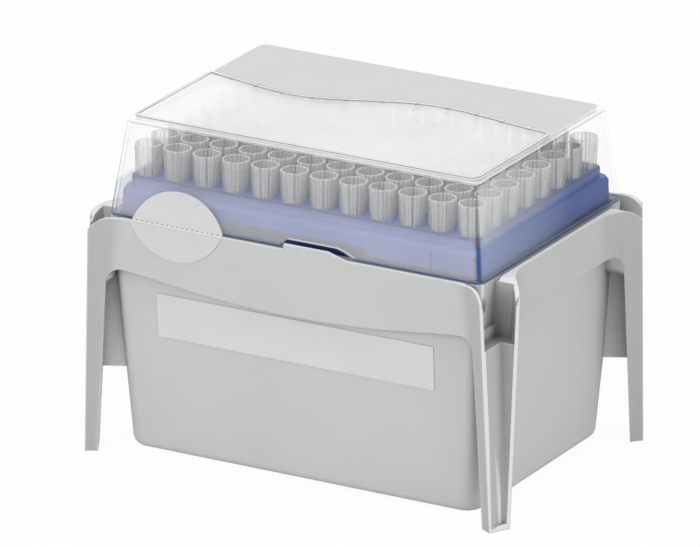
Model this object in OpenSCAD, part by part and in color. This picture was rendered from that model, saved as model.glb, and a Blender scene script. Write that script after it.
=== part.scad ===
// Rack box for 1000 microlitre pipette tips.
// A moulded base on four splayed corner legs holds a removable rack of tips
// under a clear hinged lid. Millimetres, +Z up, label side facing -Y,
// origin at the centre of the footprint on the surface the legs stand on.

/* [Tips] */
// Spacing of the tips in both directions
tip_pitch = 9; // [8.8:0.1:9.6]
// Overall length of one tip
tip_length = 71; // [66:1:80]
// Outer diameter of the tip at its mouth
tip_rim_d = 7.8; // [7.4:0.1:8.2]
// Height of the mouth above the deck that the collar rests on
tip_collar_h = 8.6; // [7:0.2:12]
// Outer diameter of the shaft just under the collar
tip_shaft_d = 5.9; // [5.4:0.1:6.2]
// Overhang of the collar's foot beyond the shaft
tip_collar_step = 0.55; // [0.4:0.05:0.7]
// Outer diameter at the dispensing end
tip_end_d = 1.5; // [1.2:0.1:2]
// Bore diameter at the dispensing end
tip_end_bore = 0.8; // [0.5:0.1:1]
// Wall thickness of the tip
tip_wall = 0.6; // [0.4:0.05:0.8]
// Depth of the straight part of the mouth
tip_mouth_depth = 3; // [2:0.5:5]
// Height of the collar's foot chamfer
tip_collar_chamfer = 0.6; // [0.3:0.1:1]
// Length of the straight outlet at the dispensing end
tip_outlet_h = 1; // [0.5:0.5:3]
// Length of the slender nose above the outlet
tip_nose_h = 26; // [20:1:32]
// Outer diameter at the top of the slender nose
tip_nose_d = 3.6; // [3.2:0.1:4]

/* [Rack] */
// Play of a tip shaft in its hole, on the radius
hole_play = 0.15; // [0.1:0.05:0.3]
// Land of the deck outside the outermost tip mouths
deck_land = 0.1; // [0.1:0.1:1]
// Height of the deck above the rim of the base
deck_rise = 10.4; // [9:0.2:13]
// Thickness of the deck
deck_t = 2.2; // [1.6:0.2:3]
// Bevel along the deck's edge
deck_bevel = 0.4; // [0.2:0.1:0.8]
// Drop from the deck to the tier around it
tier_drop = 3; // [2.4:0.2:4]
// Width of the tier across the short ends
tier_step_x = 1.1; // [0.8:0.1:2]
// Width of the tier along the long sides
tier_step_y = 1.1; // [0.8:0.1:2]
// Height of the bevel along the tier's edge
tier_bevel = 1.2; // [0.8:0.2:2]
// Reach of that bevel across the short ends
tier_bevel_x = 0.4; // [0.2:0.1:0.8]
// Reach of that bevel along the long sides
tier_bevel_y = 1.1; // [0.6:0.1:1.6]
// Flare of the short end walls from the tier down to the foot
rack_flare_x = 0.35; // [0.2:0.05:0.8]
// Flare of the long side walls from the tier down to the foot
rack_flare_y = 0.5; // [0.2:0.05:1]
// Wall thickness of the rack
rack_wall = 1.6; // [1.2:0.1:2]
// Corner radius of the rack
rack_corner_r = 2.5; // [1.5:0.1:4]
// Thickness of the ribs between the tips
cell_rib_t = 1; // [0.8:0.1:1.4]
// Depth of those ribs below the deck
cell_rib_h = 9; // [6:1:14]
// Length of each snap tab's raised bar on the long sides
snap_tab_h = 6; // [5:0.5:7]
// Width of a snap tab
snap_tab_w = 2.1; // [1.5:0.1:4]
// How far a snap tab stands out of the wall
snap_tab_t = 0.4; // [0.2:0.1:0.6]
// Distance of the snap tabs from the middle
snap_tab_x = 39.5; // [30:0.5:46]

/* [Lid] */
// Wall thickness of the lid
lid_wall = 1.1; // [0.8:0.1:1.6]
// Gap between lid and tip mouths across the short ends
lid_tip_gap_x = 0.5; // [0.4:0.1:1.4]
// Gap between lid and tip mouths along the long sides
lid_tip_gap_y = 1.6; // [1.2:0.1:2.4]
// Gap between lid and rack foot across the short ends
lid_rack_gap_x = 0.85; // [0.7:0.05:1.4]
// Gap between lid and rack foot along the long sides
lid_rack_gap_y = 1.5; // [1:0.1:2]
// Room between the tip mouths and the lid's ceiling
lid_head_room = 7; // [5:0.5:12]
// Gap between the lid's foot and the rim of the base
lid_foot_gap = 0.2; // [0.1:0.05:0.4]
// Corner radius of the lid
lid_corner_r = 3; // [2.4:0.1:5]
// Edge radius around the lid's top
lid_edge_r = 1.2; // [0.6:0.1:2]
// Height of the thumb notch in the lid's foot
notch_h = 2.2; // [1.8:0.1:3]
// Side gap between the thumb lip's square end and the notch
notch_gap = 1; // [0.5:0.1:2]
// Side gap between the lip's run-out and the notch, at the notch's top
notch_top_gap = 1.5; // [1:0.1:3]
// Side gap between the lip's run-out and the notch, at the lid's foot
notch_foot_gap = 3; // [2:0.1:4]

/* [Base] */
// Room between the tip ends and the floor
tip_foot_room = 13.6; // [8:0.2:20]
// Gap between the tub's underside and the standing surface
tub_lift = 0.8; // [0.4:0.1:2]
// Thickness of the tub's floor
tub_floor_t = 1.6; // [1.2:0.1:2.4]
// Wall thickness of the tub
tub_wall = 1.6; // [1.2:0.1:2]
// Slope of the tub's short end walls, in degrees
tub_draft_x = 2.98; // [2.4:0.02:4.4]
// Slope of the tub's long side walls, in degrees
tub_draft_y = 3.87; // [3:0.1:4.4]
// Vertical corner radius at the tub's floor
tub_corner_r = 5.5; // [4.5:0.5:9]
// Edge radius around the tub's underside
tub_edge_r = 2.2; // [1.5:0.1:2.6]
// Depth of the rack's seat below the rim
seat_depth = 8; // [6:0.5:10]
// Play of the rack in the base, on each side
rack_play = 0.3; // [0.2:0.05:0.6]
// Width of the seat ribs that carry the rack
seat_rib_w = 2; // [1.4:0.2:4]
// Land of each seat rib inside the rack's wall
seat_land = 0.4; // [0.2:0.1:0.8]
// Ledge around the lid's foot across the short ends
rim_ledge_x = 2.1; // [1.6:0.1:3]
// Ledge around the lid's foot along the long sides
rim_ledge_y = 1.2; // [1.1:0.05:2]
// Height of the skirt below the rim at its front corners
skirt_h_front = 15.5; // [12:0.5:16]
// Extra depth of the skirt in the middle of a long side
skirt_bow = 3; // [1:0.5:4]
// Height of the skirt below the rim on the short ends
skirt_h_side = 13.8; // [12:0.2:15]
// Rise of the arches beside the legs
arch_rise = 0.9; // [0.4:0.1:1.4]
// Corner radius of the arches beside the legs
arch_r = 4; // [3:0.5:5]
// Distance from the skirt's short end to the arch on a long side
arch_from_x = 16.5; // [12:0.5:24]
// Distance from the skirt's long side to the arch on a short end
arch_from_y = 28; // [20:1:34]

/* [Legs] */
// Direction that the open side of each leg faces, from the X axis
leg_turn = 27.5; // [22:0.5:33]
// Direction of the leg's short faces, from the X axis
leg_splay = 42; // [38:1:46]
// Width of the leg's open side at the foot
leg_w_foot = 6.8; // [6:0.2:8]
// Width of the leg's open side at the rim
leg_w_rim = 13.4; // [12:0.2:14]
// Depth of the leg from its open side to its back at the foot
leg_d_foot = 3.6; // [3:0.1:4.4]
// Depth of the leg from its open side to its back at the rim
leg_d_rim = 5.5; // [4.6:0.1:6.4]
// Reach of the leg beyond the skirt's corner at the foot
leg_reach_foot = 3.7; // [3.2:0.1:4.4]
// Reach of the leg beyond the skirt's corner at the rim
leg_reach_rim = 2.5; // [2.2:0.1:3]
// Shift of the leg towards the short end
leg_shift = 2.7; // [2.2:0.1:3.2]
// Wall thickness of the leg
leg_wall = 1.2; // [1:0.1:1.5]
// Wall thickness of the fins around the pocket
fin_wall = 1.1; // [0.8:0.1:1.4]
// Thickness of the plate that closes the leg's foot
foot_t = 1.7; // [1.2:0.1:3]
// Radius of the fins' top corners
fin_r = 5.5; // [4.5:0.5:9]
// Depth of the pocket between the fins, below the rim
pocket_depth = 13; // [9:0.5:13]
// Depth of the well at the pocket's corner, below the rim
well_depth = 16.5; // [15:0.5:17.5]
// Wall between that well and the arches beside it
well_wall = 1.4; // [1:0.1:2]
// Thickness of the pocket's floor
pocket_floor_t = 2; // [1.5:0.1:2.5]
// Height of the gusset's lower edge above the standing surface
gusset_z = 23.4; // [16:0.2:32]
// Thickness of the gusset between leg and tub
gusset_t = 1.5; // [1.2:0.1:2.4]

/* [Thumb lip] */
// Height of the thumb lip on the rim
lip_h = 1.6; // [1.2:0.1:2]
// Length of the lip's level part
lip_w = 13.3; // [10:0.1:16]
// Left end of the lip, from the middle
lip_x = -2; // [-4:0.5:0]
// Length of the lip's sloping run-out
lip_slope = 5.7; // [4:0.1:8]
// Thickness of the lip
lip_t = 1; // [0.8:0.05:1.05]

/* [Hinge] */
// Distance of each hinge from the middle
hinge_x = 30; // [20:1:40]
// Diameter of the hinge pin
pin_d = 2.4; // [2:0.1:2.8]
// Running clearance of the pin in its ears, on the radius
pin_play = 0.05; // [0.03:0.01:0.1]
// Distance of the hinge axis behind the skirt
hinge_out = 2; // [1.9:0.1:2.6]
// Height of the hinge axis above the rim
hinge_up = 1.5; // [1.4:0.1:2]
// Wall around the pin in an ear
ear_wall = 1.35; // [1:0.05:1.4]
// Thickness of each ear
ear_t = 2; // [1.5:0.1:3]
// Depth of an ear's root below the rim
ear_root = 5; // [3:0.5:8]
// Width of the lid's hinge arm
arm_w = 5; // [4:0.5:8]
// Side gap between arm and ears
arm_gap = 0.3; // [0.2:0.05:0.5]
// Wall around the pin in the arm
arm_wall = 0.8; // [0.6:0.1:0.8]

/* [Labels] */
// Width of the front label
label_w = 84.8; // [70:0.2:88]
// Height of the front label
label_h = 12.6; // [8:0.2:14]
// Gap between the front label and the lowest point of the skirt
label_gap = 1.8; // [1:0.1:4]
// Thickness of the label and the seal
label_t = 0.15; // [0.1:0.05:0.3]
// Room for the adhesive under the label and the seal
film_gap = 0.08; // [0.08:0.01:0.12]
// Lap of the seal over the start of the front flare
seal_lap = 1.65; // [0.5:0.05:1.7]
// Width of the seal
seal_w = 28; // [24:0.5:30]
// Height of the seal's half on the lid
seal_upper_h = 9.6; // [8:0.1:11]
// Height of the seal's half on the skirt
seal_lower_h = 9; // [8:0.1:10]
// Distance from the rim to the seal's perforation
seal_drop = 0.4; // [0.2:0.1:0.8]

/* [Hidden] */
$fn = 48;
// The standard 96-place pattern
columns = 12;
rows = 8;
// Steps along a rounded corner, a flare, a rounded edge, the skirt's bow
// and the seal's circle
corner_steps = 6;
flare_steps = 6;
edge_steps = 3;
bow_steps = 12;
seal_steps = 96;
// Small overlap that makes cuts run clean through
over = 0.05;
// Extra length of shapes that run past a face or are trimmed back to it
trim = 1;
// Reach of cutting shapes past the sides of the box
cut_out = 10;
// Step from the rim down to the tub's own top, behind the skirt
tub_step = 0.2;
// Shift between a fin's edge and the start of its rounded corner
fin_lead = 0.5;
// Part of the skirt's thickness that the fins' rounding takes in
fin_cut_in = 1.5;
// How closely the lid's corners tighten along its rounded top edge
lid_edge_follow = 0.9;
// Reach of the pocket and the gusset towards the tub, and of the seat ribs'
// roots into its walls
pocket_in = 9;
gusset_in = 8;
rib_root = 10;

grid_half = [(columns - 1) * tip_pitch / 2, (rows - 1) * tip_pitch / 2];
floor_z = tub_lift + tub_floor_t;
tip_end_z = floor_z + tip_foot_room;
mouth_z = tip_end_z + tip_length;
deck_z = mouth_z - tip_collar_h;
rim_z = deck_z - deck_rise;
seat_z = rim_z - seat_depth;
tier_z = deck_z - tier_drop;
hole_d = tip_shaft_d + 2 * hole_play;
collar_foot_d = tip_shaft_d + 2 * tip_collar_step;

// Half sizes of the rack, from the deck down to the foot
deck_half = grid_half + both(tip_rim_d / 2 + deck_land);
tier_half = deck_half + [tier_step_x, tier_step_y];
shoulder_half = tier_half + [tier_bevel_x, tier_bevel_y];
rack_foot_half = shoulder_half + [rack_flare_x, rack_flare_y];

// Half sizes inside the lid, at its foot and at the tip mouths
lid_foot_z = rim_z + lid_foot_gap;
lid_top_z = mouth_z + lid_head_room + lid_wall;
lid_foot_in = rack_foot_half + [lid_rack_gap_x, lid_rack_gap_y];
lid_mouth_in = grid_half + both(tip_rim_d / 2) + [lid_tip_gap_x, lid_tip_gap_y];
lid_lean = (lid_foot_in - lid_mouth_in) / (mouth_z - lid_foot_z);
lid_foot_half = lid_foot_in + both(lid_wall);

// Half sizes of the tub and of the skirt around its rim
tub_lean = [tan(tub_draft_x), tan(tub_draft_y)];
skirt_half = lid_foot_half + [rim_ledge_x, rim_ledge_y];
pocket_z = rim_z - pocket_depth;
well_z = rim_z - well_depth;
leg_top_z = well_z - pocket_floor_t;
leg_out = [cos(leg_turn), sin(leg_turn)];
leg_along = [sin(leg_turn), -cos(leg_turn)];
splay = [cos(leg_splay), sin(leg_splay)];
// Share of each flare at which the pocket starts
pocket_start = 0.35;

hinge_y = skirt_half.y + hinge_out;
hinge_z = rim_z + hinge_up;
ear_r = pin_d / 2 + ear_wall;
arm_r = pin_d / 2 + arm_wall;
pin_half = arm_w / 2 + arm_gap + ear_t;

label_z = rim_z - skirt_h_front - skirt_bow - label_gap - label_h / 2;
seal_x = front_flare(rim_z)[0].x + seal_lap - seal_w / 2;

function both(v) = [v, v];
function mix(a, b, t) = a + (b - a) * t;
function lid_half(z) = lid_foot_half - lid_lean * (z - lid_foot_z);
function tub_half(z) = lid_foot_half - tub_lean * (rim_z - z);
function tub_r(z) = mix(tub_corner_r, lid_corner_r, z / rim_z);

// Rounded rectangle, counter-clockwise, as a ring of points at height z
function ring(half, r, z) = [
    for (q = [0:3], k = [0:corner_steps])
        let (sx = q == 0 || q == 3 ? 1 : -1, sy = q < 2 ? 1 : -1)
        let (a = 90 * (q + k / corner_steps))
        [sx * (half.x - r) + r * cos(a), sy * (half.y - r) + r * sin(a), z]];

// The outline's ring at height z from a list of plane points
function lift(points, z) = [for (p = points) [p.x, p.y, z]];

// Solid through rings that all have the same number of points
module loft(rings) {
    n = len(rings[0]);
    layers = len(rings);
    sides = [for (l = [0:layers - 2], i = [0:n - 1])
        let (a = l * n + i, b = l * n + (i + 1) % n)
        each [[a, a + n, b + n], [a, b + n, b]]];
    floor_face = [for (i = [0:n - 1]) i];
    roof_face = [for (i = [n - 1:-1:0]) (layers - 1) * n + i];
    points = [for (r = rings, p = r) p];
    polyhedron(points, concat([floor_face, roof_face], sides));
}

// Copies of one corner's shape in all four corners
module four_corners() {
    for (mx = [0, 1], my = [0, 1]) {
        mirror([mx, 0, 0]) mirror([0, my, 0]) children();
    }
}

// --- Legs ---------------------------------------------------------------

// Middle and both tips of a leg's open side at height z
function leg_mid(z) = skirt_half
    + leg_out * mix(leg_reach_foot, leg_reach_rim, z / rim_z)
    + leg_along * leg_shift;
function leg_w(z) = mix(leg_w_foot, leg_w_rim, z / rim_z);
function front_tip(z) = leg_mid(z) - leg_along * leg_w(z) / 2;
function side_tip(z) = leg_mid(z) + leg_along * leg_w(z) / 2;

// Distance of a leg's back from the middle of the box, square to that back
function back_reach(z) = leg_mid(z) * leg_out - mix(leg_d_foot, leg_d_rim, z / rim_z);

// Quadratic curve through three control points
function curve(p, t) = p[0] * pow(1 - t, 2) + p[1] * 2 * t * (1 - t) + p[2] * t * t;

// Control points of the flares from the skirt's planes out to the leg's tips,
// drawn inwards by w for the inner face of a wall of that thickness
function front_flare(z, w = 0) =
    let (tip = front_tip(z) + w * [splay.y, -splay.x])
    let (run = (tip.y - skirt_half.y + w) / splay.y)
    let (knee = tip - run * splay)
    [knee - [run, 0], knee, tip];
function side_flare(z, w = 0) =
    let (tip = side_tip(z) + w * [-splay.y, splay.x])
    let (run = (tip.x - skirt_half.x + w) / splay.x)
    let (knee = tip - run * splay)
    [knee - [0, run], knee, tip];
function steps(p, from, to) =
    [for (k = [0:flare_steps]) curve(p, mix(from, to, k / flare_steps))];

// Inner corner of the leg's channel
function channel_corner(z) = [front_flare(z, leg_wall)[2].x, side_flare(z, leg_wall)[2].y];

// The channel alone, drawn well out of the leg's open side
function channel_section(z) =
    let (side = side_flare(z, leg_wall)[2], front = front_flare(z, leg_wall)[2])
    [side, side + cut_out * splay, front + cut_out * splay, front, channel_corner(z)];

// Quarter of the skirt's outline, with a straight line across the leg's tips
function skirt_quarter(z) = concat(
    steps(side_flare(z), 0, 1), steps(front_flare(z), 1, 0));
function turned(points) = [for (i = [len(points) - 1:-1:0]) points[i]];
function skirt_outline(z) =
    let (q = skirt_quarter(z))
    concat(q, [for (p = turned(q)) [-p.x, p.y]],
        [for (p = q) [-p.x, -p.y]], [for (p = turned(q)) [p.x, -p.y]]);

// Pocket between the fins, from inside the tub to well outside the corner
function pocket_section(z) =
    let (side = steps(side_flare(z, fin_wall), pocket_start, 1))
    let (front = steps(front_flare(z, fin_wall), 1, pocket_start))
    concat([[skirt_half.x - pocket_in, side[0].y]], side,
        [side[flare_steps] + cut_out * splay, front[0] + cut_out * splay], front,
        [[front[flare_steps].x, skirt_half.y - pocket_in]]);

// Point of a flare's curve p that lies as far out as a leg's back at height z
function on_back(p, z) =
    let (a = (p[0] - 2 * p[1] + p[2]) * leg_out)
    let (b = 2 * (p[1] - p[0]) * leg_out)
    let (c = p[0] * leg_out - back_reach(z))
    curve(p, (sqrt(b * b - 4 * a * c) - b) / (2 * a));

// The two edges where a leg's back meets its flared faces
function back_front(z) = on_back(front_flare(z), z);
function back_side(z) = on_back(side_flare(z), z);

// --- Base ---------------------------------------------------------------

// Region under a skirt's lower edge, seen square on: level in the middle with
// an optional bow, an arch at each end and the leg's inner edge below it
module arch_profile(edge_h, bow, level_half, arch_half) {
    edge_z = rim_z - edge_h;
    bow_r = bow > 0 ? (level_half * level_half + bow * bow) / (2 * bow) : 0;
    bow_half = bow > 0 ? asin(level_half / bow_r) : 0;
    middle = bow > 0
        ? [for (k = [0:bow_steps]) let (a = bow_half * k / bow_steps)
            [bow_r * sin(a), edge_z - bow + bow_r * (1 - cos(a))]]
        : [[0, edge_z], [level_half, edge_z]];
    arch = [for (k = [0:corner_steps]) let (a = 90 - 90 * k / corner_steps)
        [arch_half - arch_r + arch_r * cos(a), edge_z + arch_rise - arch_r + arch_r * sin(a)]];
    right = concat(middle, arch, [[arch_half, -trim]]);
    left = [for (p = turned(right)) [-p.x, p.y]];
    polygon(concat(left, right));
}

// Region above a fin's rounded top corner, seen square on
module fin_profile(tip) {
    middle = [tip + fin_lead - fin_r, rim_z - fin_r];
    arc = [for (k = [0:corner_steps]) let (a = 90 * k / corner_steps)
        middle + fin_r * [cos(a), sin(a)]];
    past = tip + fin_lead + trim;
    polygon(concat(arc, [[middle.x, rim_z + trim], [past, rim_z + trim], [past, middle.y]]));
}

// What rounds off the tops of one corner's two fins
module fin_cuts() {
    deep = fin_cut_in + cut_out;
    translate([0, skirt_half.y + cut_out, 0]) rotate([90, 0, 0]) linear_extrude(deep)
        fin_profile(front_tip(rim_z - fin_r).x);
    translate([skirt_half.x - fin_cut_in, 0, 0]) rotate([90, 0, 90]) linear_extrude(deep)
        fin_profile(side_tip(rim_z - fin_r).y);
}

// Everything between one leg's back and the tub, below the pocket's well
module behind_leg() {
    low = back_reach(-trim);
    high = back_reach(leg_top_z);
    rotate([0, 0, leg_turn]) rotate([90, 0, 0]) linear_extrude(skirt_half.x, center = true)
        polygon([[0, -trim], [low, -trim], [high, leg_top_z], [0, leg_top_z]]);
}

// The pocket between one corner's fins, with its deeper well at the corner;
// both stay clear of the arches beside the leg
module pocket() {
    from_z = well_z - trim;
    to_z = rim_z + trim;
    well_x = back_front(leg_top_z).x + well_wall;
    well_y = back_side(leg_top_z).y + well_wall;
    intersection() {
        loft([lift(pocket_section(from_z), from_z), lift(pocket_section(to_z), to_z)]);
        union() {
            translate([0, well_y, pocket_z]) cube([2 * skirt_half.x, skirt_half.x, rim_z]);
            translate([well_x, well_y, well_z]) cube([skirt_half.x, skirt_half.x, rim_z]);
        }
    }
}

// The open channel of one leg, from its foot up into the pocket's well
module channel() {
    to_z = well_z + trim;
    loft([lift(channel_section(foot_t), foot_t), lift(channel_section(to_z), to_z)]);
}

// Skirt around the tub's rim and the four legs that grow out of its corners
module skirt_and_legs() {
    difference() {
        intersection() {
            loft([lift(skirt_outline(-trim), -trim),
                lift(skirt_outline(rim_z + trim), rim_z + trim)]);
            translate([0, 0, rim_z / 2])
                cube([3 * skirt_half.x, 3 * skirt_half.x, rim_z], center = true);
        }
        rotate([90, 0, 0]) linear_extrude(2 * (skirt_half.y + cut_out), center = true)
            arch_profile(skirt_h_front, skirt_bow, skirt_half.x - arch_from_x,
                back_front(leg_top_z).x);
        rotate([90, 0, 90]) linear_extrude(2 * (skirt_half.x + cut_out), center = true)
            arch_profile(skirt_h_side, 0, skirt_half.y - arch_from_y,
                back_side(leg_top_z).y);
        four_corners() {
            behind_leg();
            pocket();
            channel();
            fin_cuts();
        }
    }
}

// Upright gusset from a leg's back into the tub's corner
module gusset() {
    to_z = leg_top_z + pocket_floor_t / 2;
    half = leg_along * gusset_t / 2;
    low_mid = (back_front(gusset_z) + back_side(gusset_z)) / 2;
    top_mid = (back_front(to_z) + back_side(to_z)) / 2;
    loft([
        lift(plate_section(low_mid, half), gusset_z),
        lift(plate_section(top_mid, half), to_z)]);
}

function plate_section(mid, half) = [
    mid - gusset_in * leg_out + half, mid + leg_wall * leg_out / 2 + half,
    mid + leg_wall * leg_out / 2 - half, mid - gusset_in * leg_out - half];

// Outside of the tub, rounded along its underside
module tub_block() {
    loft(concat(
        [for (k = [0:edge_steps])
            let (a = 90 * k / edge_steps, z = tub_lift + tub_edge_r * (1 - cos(a)))
            let (in = tub_edge_r * (1 - sin(a)))
            ring(tub_half(z) - both(in), tub_r(z) - in, z)],
        [ring(tub_half(rim_z - tub_step), tub_r(rim_z), rim_z - tub_step)]));
}

// Inside of the tub: a well that takes the rack, over the room for the tips
module tub_hollow() {
    well = rack_foot_half + both(rack_play);
    loft([ring(well, rack_corner_r, seat_z), ring(well, rack_corner_r, rim_z + trim)]);
    difference() {
        loft([
            ring(tub_half(floor_z) - both(tub_wall), tub_r(floor_z) - tub_wall, floor_z),
            ring(tub_half(seat_z) - both(tub_wall), tub_r(seat_z) - tub_wall, seat_z + over)]);
        seat_ribs();
    }
}

// Ribs on the tub's inner walls that the rack's foot stands on
module seat_ribs() {
    inner = rack_foot_half - both(rack_wall + seat_land);
    for (side = [-1, 1]) {
        for (i = [-2:2]) {
            translate([i * 2 * tip_pitch, side * (inner.y + rib_root / 2), seat_z / 2])
                cube([seat_rib_w, rib_root, seat_z], center = true);
        }
        for (j = [-1:1]) {
            translate([side * (inner.x + rib_root / 2), j * 2 * tip_pitch, seat_z / 2])
                cube([rib_root, seat_rib_w, seat_z], center = true);
        }
    }
}

// Raised lip for the thumb on the front of the rim
module thumb_lip() {
    flat_to = lip_x + lip_w;
    translate([0, -skirt_half.y + lip_t, 0]) rotate([90, 0, 0]) linear_extrude(lip_t)
        polygon([[lip_x, rim_z - trim], [flat_to + lip_slope, rim_z - trim],
            [flat_to + lip_slope, rim_z], [flat_to, rim_z + lip_h], [lip_x, rim_z + lip_h]]);
}

// The two ears of one hinge, without their bore
module ears() {
    for (side = [-1, 1]) {
        translate([side * (arm_w / 2 + arm_gap + ear_t / 2), hinge_y, hinge_z]) {
            rotate([0, 90, 0]) cylinder(h = ear_t, r = ear_r, center = true);
            root = ear_root + hinge_up;
            translate([-ear_t / 2, -hinge_out - over, -root])
                cube([ear_t, hinge_out + over + ear_r, root]);
        }
    }
}

module pin_bore() {
    translate([0, hinge_y, hinge_z]) rotate([0, 90, 0])
        cylinder(h = 2 * pin_half + trim, r = pin_d / 2 + pin_play, center = true);
}

module base() {
    color([0.76, 0.76, 0.77]) difference() {
        union() {
            tub_block();
            skirt_and_legs();
            four_corners() gusset();
            thumb_lip();
            for (side = [-1, 1]) translate([side * hinge_x, 0, 0]) ears();
        }
        tub_hollow();
        for (side = [-1, 1]) translate([side * hinge_x, 0, 0]) pin_bore();
    }
}

// --- Rack ---------------------------------------------------------------

module rack_block() {
    loft([
        ring(rack_foot_half, rack_corner_r, seat_z),
        ring(shoulder_half, rack_corner_r, tier_z - tier_bevel),
        ring(tier_half, rack_corner_r, tier_z)]);
    loft([
        ring(deck_half, rack_corner_r, tier_z - tier_bevel),
        ring(deck_half, rack_corner_r, deck_z - deck_bevel),
        ring(deck_half - both(deck_bevel), rack_corner_r - deck_bevel, deck_z)]);
}

module rack_hollow() {
    inner_r = rack_corner_r - rack_wall / 2;
    roof_z = tier_z - tier_bevel;
    loft([
        ring(rack_foot_half - both(rack_wall), inner_r, seat_z - trim),
        ring(tier_half - both(rack_wall), inner_r, roof_z)]);
    loft([
        ring(grid_half + both(hole_d / 2), inner_r, roof_z - over),
        ring(grid_half + both(hole_d / 2), inner_r, deck_z - deck_t)]);
}

// Upright ribs that part the rack's underside into one cell per tip
module cell_ribs() {
    low_z = deck_z - deck_t - cell_rib_h;
    h = deck_z - low_z;
    for (i = [1:columns - 1]) {
        translate([i * tip_pitch - columns * tip_pitch / 2, 0, low_z + h / 2])
            cube([cell_rib_t, 2 * rack_foot_half.y, h], center = true);
    }
    for (j = [1:rows - 1]) {
        translate([0, j * tip_pitch - rows * tip_pitch / 2, low_z + h / 2])
            cube([2 * rack_foot_half.x, cell_rib_t, h], center = true);
    }
}

// Raised bars low on the long walls that snap behind the rim
module snap_tabs() {
    for (side = [-1, 1], end = [-1, 1]) {
        translate([end * snap_tab_x, side * shoulder_half.y, rim_z + snap_tab_h / 2])
            cube([snap_tab_w, 2 * (snap_tab_t + rack_flare_y), snap_tab_h], center = true);
    }
}

module rack() {
    color([0.24, 0.32, 0.55]) difference() {
        union() {
            rack_block();
            snap_tabs();
        }
        difference() {
            rack_hollow();
            cell_ribs();
        }
        for (i = [0:columns - 1], j = [0:rows - 1]) {
            translate([tip_x(i), tip_y(j), deck_z - deck_t - over])
                cylinder(h = deck_t + 2 * over, d = hole_d);
        }
    }
}

// --- Lid ----------------------------------------------------------------

// The lid's outside or, drawn in by w, its inside
module lid_block(w, foot_z, top_z) {
    edge = lid_edge_r - w / 2;
    loft(concat(
        [ring(lid_half(foot_z) - both(w), lid_corner_r - w, foot_z)],
        [for (k = [0:edge_steps])
            let (a = 90 * k / edge_steps, z = top_z - edge * (1 - sin(a)))
            let (in = edge * (1 - cos(a)))
            ring(lid_half(z) - both(w + in), lid_corner_r - w - in * lid_edge_follow, z)]));
}

// Opening for the thumb in the lid's front foot
module thumb_notch() {
    left = lip_x - notch_gap;
    flat_to = lip_x + lip_w + notch_top_gap;
    right = lip_x + lip_w + lip_slope + notch_foot_gap;
    low_z = lid_foot_z - trim;
    top_z = lid_foot_z + notch_h;
    deep = 2 * (lid_wall + trim);
    translate([0, deep / 2 - lid_foot_half.y, 0]) rotate([90, 0, 0]) linear_extrude(deep)
        polygon([[left, low_z], [right, low_z], [right, lid_foot_z],
            [flat_to, top_z], [left, top_z]]);
}

// One hinge arm on the lid's back foot, with its pin
module hinge_arm() {
    from_y = lid_foot_half.y - lid_wall / 2;
    translate([-arm_w / 2, from_y, hinge_z - arm_r / 2])
        cube([arm_w, hinge_y - from_y, arm_r]);
    translate([0, hinge_y, hinge_z]) rotate([0, 90, 0]) {
        cylinder(h = arm_w, r = arm_r, center = true);
        cylinder(h = 2 * pin_half, d = pin_d, center = true);
    }
}

module lid() {
    color([0.85, 0.88, 0.9, 0.35]) {
        difference() {
            lid_block(0, lid_foot_z, lid_top_z);
            lid_block(lid_wall, lid_foot_z - trim, lid_top_z - lid_wall);
            thumb_notch();
        }
        for (side = [-1, 1]) translate([side * hinge_x, 0, 0]) hinge_arm();
    }
}

// --- Tips ---------------------------------------------------------------

function tip_x(i) = i * tip_pitch - grid_half.x;
function tip_y(j) = j * tip_pitch - grid_half.y;

// One tip: a flared collar that rests on the deck, a tapered shaft and a
// slender nose, hollow from its mouth to its outlet
module tip() {
    nose_z = tip_end_z + tip_outlet_h + tip_nose_h;
    rotate_extrude() polygon([
        [tip_end_bore / 2, tip_end_z],
        [tip_end_d / 2, tip_end_z],
        [tip_nose_d / 2, nose_z],
        [tip_shaft_d / 2, deck_z],
        [collar_foot_d / 2 - tip_collar_chamfer / 4, deck_z],
        [collar_foot_d / 2, deck_z + tip_collar_chamfer],
        [tip_rim_d / 2, mouth_z],
        [tip_rim_d / 2 - tip_wall, mouth_z],
        [tip_rim_d / 2 - tip_wall, mouth_z - tip_mouth_depth],
        [tip_shaft_d / 2 - tip_wall, deck_z],
        [tip_nose_d / 2 - tip_wall, nose_z],
        [tip_end_bore / 2, tip_end_z + tip_outlet_h]]);
}

// The eight tips of column number c, counted from 1 at the left
module tips_column(c) {
    color([0.9, 0.9, 0.88, 0.6])
        for (j = [0:rows - 1]) translate([tip_x(c - 1), tip_y(j), 0]) tip();
}

// --- Label and seal -----------------------------------------------------

// Plain label on the tub's front wall
module front_label() {
    color([0.9, 0.9, 0.9])
        translate([0, -tub_half(label_z).y - film_gap, label_z])
            rotate([90 + tub_draft_y, 0, 0]) linear_extrude(label_t)
                square([label_w, label_h], center = true);
}

// Half of the round-ended seal: the cap of a circle, h high and seal_w wide
module seal_half(h) {
    r = (pow(seal_w / 2, 2) + h * h) / (2 * h);
    difference() {
        translate([0, h - r]) circle(r, $fn = seal_steps);
        translate([-r, -2 * r]) square([2 * r, 2 * r]);
    }
}

module seal_upper() {
    color([0.92, 0.92, 0.92])
        translate([-seal_x, -lid_foot_half.y - film_gap, lid_foot_z])
            rotate([90 - atan(lid_lean.y), 0, 0]) linear_extrude(label_t) seal_half(seal_upper_h);
}

module seal_lower() {
    color([0.9, 0.9, 0.9])
        translate([-seal_x, -skirt_half.y - film_gap, rim_z - seal_drop])
            rotate([90, 0, 0]) linear_extrude(label_t) mirror([0, 1]) seal_half(seal_lower_h);
}

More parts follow.
